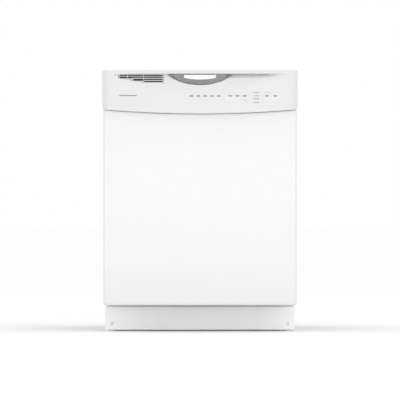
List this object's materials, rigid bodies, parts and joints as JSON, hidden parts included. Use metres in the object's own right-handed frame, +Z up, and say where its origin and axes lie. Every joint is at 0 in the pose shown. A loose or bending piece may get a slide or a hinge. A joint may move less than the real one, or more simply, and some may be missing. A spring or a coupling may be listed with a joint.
{
  "type": "built in dishwasher",
  "caption": "Front-control built in dishwasher with a scooped handle fascia, drop-down door, sliding racks and turning spray arms on levelling legs.",
  "frame": {"origin": "on the floor under the middle of the overall box, legs screwed in", "axes": "+Z up, -Y out of the door's front, +X to the right when facing the door"},
  "size_m": [0.606, 0.625, 0.811],
  "materials": {
    "fascia_white": "satin moulded",
    "door_enamel": "semi-gloss enamel on steel",
    "kick_paint": "satin paint",
    "handle_white": "gloss",
    "vent_grey": "fine texture",
    "key_white": "satin",
    "lamp_lens": "clear over grey",
    "tub_plastic": "moulded polypropylene",
    "liner_plastic": "moulded polypropylene",
    "frame_steel": "galvanised",
    "zinc_steel": "zinc plated",
    "spring_steel": "oiled",
    "gasket_rubber": "matte",
    "blanket_felt": "needled felt",
    "pump_plastic": "glass filled",
    "sump_plastic": "moulded",
    "filter_grey": "fine",
    "arm_grey": "moulded",
    "heater_metal": "heat dulled",
    "rack_nylon": "nylon coating over steel wire",
    "wheel_grey": "acetal",
    "rail_steel": "stainless",
    "basket_grey": "moulded",
    "dispenser_grey": "moulded",
    "lid_grey": "moulded",
    "board_green": "solder mask",
    "foot_plastic": "moulded",
    "valve_white": "moulded"
  },
  "bodies": {
    "cabinet": {"tub": "tub_plastic", "front_frame": "frame_steel", "door_gasket": "gasket_rubber", "insulation_blanket": "blanket_felt", "base_frame": "frame_steel", "door_springs": "spring_steel", "toe_kick_panel": "kick_paint", "toe_kick_screws": "zinc_steel", "mounting_brackets": "zinc_steel", "hinge_brackets": "zinc_steel", "sump": "sump_plastic", "filter_plate": "filter_grey", "wash_pump_motor": "pump_plastic", "drain_pump": "pump_plastic", "inlet_valve": "valve_white", "junction_box": "zinc_steel", "heating_element": "heater_metal", "feed_tube": "arm_grey", "top_spray_head": "arm_grey", "rack_rails": "rail_steel", "door_strike": "zinc_steel"},
    "door": {"control_fascia": "fascia_white", "vent_grille": "vent_grey", "status_lamps": "lamp_lens", "control_board": "board_green", "door_outer_panel": "door_enamel", "door_inner_liner": "liner_plastic", "dispenser_body": "dispenser_grey", "hinge_arms": "zinc_steel", "latch_housing": "pump_plastic"},
    "latch_handle": {"latch_handle": "handle_white"},
    "detergent_lid": {"detergent_lid": "lid_grey"},
    "rinse_aid_cap": {"rinse_aid_cap": "lid_grey"},
    "lower_rack": {"lower_rack": "rack_nylon"},
    "lower_rack_front_wheels": {"lower_rack_front_wheels": "wheel_grey"},
    "lower_rack_rear_wheels": {"lower_rack_rear_wheels": "wheel_grey"},
    "silverware_basket": {"silverware_basket": "basket_grey"},
    "upper_slide_rails": {"upper_slide_rails": "rail_steel"},
    "upper_rack": {"upper_rack": "rack_nylon"},
    "upper_rack_front_rollers": {"upper_rack_front_rollers": "wheel_grey"},
    "upper_rack_rear_rollers": {"upper_rack_rear_rollers": "wheel_grey"},
    "upper_spray_arm": {"upper_spray_arm": "arm_grey"},
    "lower_spray_arm": {"lower_spray_arm": "arm_grey"},
    "wash_impeller": {"wash_impeller": "pump_plastic"},
    "filter_cup": {"filter_cup": "filter_grey"},
    "float_dome": {"float_dome": "valve_white"},
    "leg_front_left": {"leveling_leg_front_left": "foot_plastic"},
    "leg_front_right": {"leveling_leg_front_right": "foot_plastic"},
    "leg_rear_left": {"leveling_leg_rear_left": "foot_plastic"},
    "leg_rear_right": {"leveling_leg_rear_right": "foot_plastic"},
    "cycle_key_1": {"cycle_key_1": "key_white"},
    "cycle_key_2": {"cycle_key_2": "key_white"},
    "cycle_key_3": {"cycle_key_3": "key_white"},
    "cycle_key_4": {"cycle_key_4": "key_white"},
    "cycle_key_5": {"cycle_key_5": "key_white"},
    "option_key_1": {"option_key_1": "key_white"},
    "option_key_2": {"option_key_2": "key_white"},
    "option_key_3": {"option_key_3": "key_white"},
    "start_key_1": {"start_key_1": "key_white"},
    "start_key_2": {"start_key_2": "key_white"}
  },
  "joints": [
    {"name": "door_hinge", "type": "hinge", "parent": "cabinet", "child": "door", "pos_m": [0, -0.243, 0.132], "axis": [1, 0, 0], "range_deg": [0, 90], "stiffness_Nm_per_rad": 14, "deforming": ["door_springs"]},
    {"name": "handle_pull", "type": "hinge", "parent": "door", "child": "latch_handle", "pos_m": [0, -0.305, 0.793], "axis": [-1, 0, 0], "range_deg": [0, 15], "stiffness_Nm_per_rad": 0.05, "springref_deg": -11.46},
    {"name": "detergent_lid_hinge", "type": "hinge", "parent": "door", "child": "detergent_lid", "pos_m": [-0.065, -0.219, 0.365], "axis": [-1, 0, 0], "range_deg": [0, 100]},
    {"name": "rinse_cap_turn", "type": "hinge", "parent": "door", "child": "rinse_aid_cap", "pos_m": [0.025, -0.22, 0.394], "axis": [0, -1, 0], "range_deg": [0, 90]},
    {"name": "lower_rack_slide", "type": "slide", "parent": "cabinet", "child": "lower_rack", "axis": [0, -1, 0], "range_m": [0, 0.158]},
    {"name": "lower_front_wheel_roll", "type": "hinge", "parent": "lower_rack", "child": "lower_rack_front_wheels", "pos_m": [0, -0.1, 0.159], "axis": [1, 0, 0], "range_deg": [0, 502]},
    {"name": "lower_rear_wheel_roll", "type": "hinge", "parent": "lower_rack", "child": "lower_rack_rear_wheels", "pos_m": [0, 0.2, 0.159], "axis": [1, 0, 0], "range_deg": [0, 502]},
    {"name": "basket_lift", "type": "slide", "parent": "lower_rack", "child": "silverware_basket", "axis": [0, 0, 1], "range_m": [0, 0.08]},
    {"name": "slide_rail_travel", "type": "slide", "parent": "cabinet", "child": "upper_slide_rails", "axis": [0, -1, 0], "range_m": [0, 0.211]},
    {"name": "upper_rack_slide", "type": "slide", "parent": "cabinet", "child": "upper_rack", "axis": [0, -1, 0], "range_m": [0, 0.421]},
    {"name": "upper_front_roller_roll", "type": "hinge", "parent": "upper_rack", "child": "upper_rack_front_rollers", "pos_m": [0, 0.02, 0.572], "axis": [1, 0, 0], "range_deg": [0, 1270]},
    {"name": "upper_rear_roller_roll", "type": "hinge", "parent": "upper_rack", "child": "upper_rack_rear_rollers", "pos_m": [0, 0.19, 0.572], "axis": [1, 0, 0], "range_deg": [0, 1270]},
    {"name": "upper_arm_spin", "type": "hinge", "parent": "upper_rack", "child": "upper_spray_arm", "pos_m": [0, 0.01, 0.445], "axis": [0, 0, 1], "continuous": true},
    {"name": "lower_arm_spin", "type": "hinge", "parent": "cabinet", "child": "lower_spray_arm", "pos_m": [0, 0.03, 0.148], "axis": [0, 0, 1], "continuous": true},
    {"name": "impeller_spin", "type": "hinge", "parent": "cabinet", "child": "wash_impeller", "pos_m": [0.105, 0.03, 0.064], "axis": [1, 0, 0], "continuous": true},
    {"name": "filter_twist", "type": "hinge", "parent": "cabinet", "child": "filter_cup", "pos_m": [0.042, -0.002, 0.12], "axis": [0, 0, 1], "range_deg": [0, 90]},
    {"name": "float_lift", "type": "slide", "parent": "cabinet", "child": "float_dome", "axis": [0, 0, 1], "range_m": [0, 0.006]},
    {"name": "leg_screw_front_left", "type": "slide", "parent": "cabinet", "child": "leg_front_left", "axis": [0, 0, -1], "range_m": [0, 0.05]},
    {"name": "leg_screw_front_right", "type": "slide", "parent": "cabinet", "child": "leg_front_right", "axis": [0, 0, -1], "range_m": [0, 0.05]},
    {"name": "leg_screw_rear_left", "type": "slide", "parent": "cabinet", "child": "leg_rear_left", "axis": [0, 0, -1], "range_m": [0, 0.05]},
    {"name": "leg_screw_rear_right", "type": "slide", "parent": "cabinet", "child": "leg_rear_right", "axis": [0, 0, -1], "range_m": [0, 0.05]},
    {"name": "cycle_key_1_press", "type": "slide", "parent": "door", "child": "cycle_key_1", "axis": [0, 1, 0], "range_m": [0, 0.0008], "stiffness_N_per_m": 400, "springref_m": -0.001},
    {"name": "cycle_key_2_press", "type": "slide", "parent": "door", "child": "cycle_key_2", "axis": [0, 1, 0], "range_m": [0, 0.0008], "stiffness_N_per_m": 400, "springref_m": -0.001},
    {"name": "cycle_key_3_press", "type": "slide", "parent": "door", "child": "cycle_key_3", "axis": [0, 1, 0], "range_m": [0, 0.0008], "stiffness_N_per_m": 400, "springref_m": -0.001},
    {"name": "cycle_key_4_press", "type": "slide", "parent": "door", "child": "cycle_key_4", "axis": [0, 1, 0], "range_m": [0, 0.0008], "stiffness_N_per_m": 400, "springref_m": -0.001},
    {"name": "cycle_key_5_press", "type": "slide", "parent": "door", "child": "cycle_key_5", "axis": [0, 1, 0], "range_m": [0, 0.0008], "stiffness_N_per_m": 400, "springref_m": -0.001},
    {"name": "option_key_1_press", "type": "slide", "parent": "door", "child": "option_key_1", "axis": [0, 1, 0], "range_m": [0, 0.0008], "stiffness_N_per_m": 400, "springref_m": -0.001},
    {"name": "option_key_2_press", "type": "slide", "parent": "door", "child": "option_key_2", "axis": [0, 1, 0], "range_m": [0, 0.0008], "stiffness_N_per_m": 400, "springref_m": -0.001},
    {"name": "option_key_3_press", "type": "slide", "parent": "door", "child": "option_key_3", "axis": [0, 1, 0], "range_m": [0, 0.0008], "stiffness_N_per_m": 400, "springref_m": -0.001},
    {"name": "start_key_1_press", "type": "slide", "parent": "door", "child": "start_key_1", "axis": [0, 1, 0], "range_m": [0, 0.0008], "stiffness_N_per_m": 400, "springref_m": -0.001},
    {"name": "start_key_2_press", "type": "slide", "parent": "door", "child": "start_key_2", "axis": [0, 1, 0], "range_m": [0, 0.0008], "stiffness_N_per_m": 400, "springref_m": -0.001}
  ],
  "couplings": [
    {"joint": "lower_rack_slide", "follows": "door_hinge", "m_per_rad": 0.1},
    {"joint": "slide_rail_travel", "follows": "door_hinge", "m_per_rad": 0.1335},
    {"joint": "upper_rack_slide", "follows": "door_hinge", "m_per_rad": 0.267},
    {"joint": "lower_front_wheel_roll", "follows": "door_hinge", "ratio": 5.5556},
    {"joint": "lower_rear_wheel_roll", "follows": "door_hinge", "ratio": 5.5556},
    {"joint": "upper_front_roller_roll", "follows": "door_hinge", "ratio": 14.053},
    {"joint": "upper_rear_roller_roll", "follows": "door_hinge", "ratio": 14.053}
  ]
}
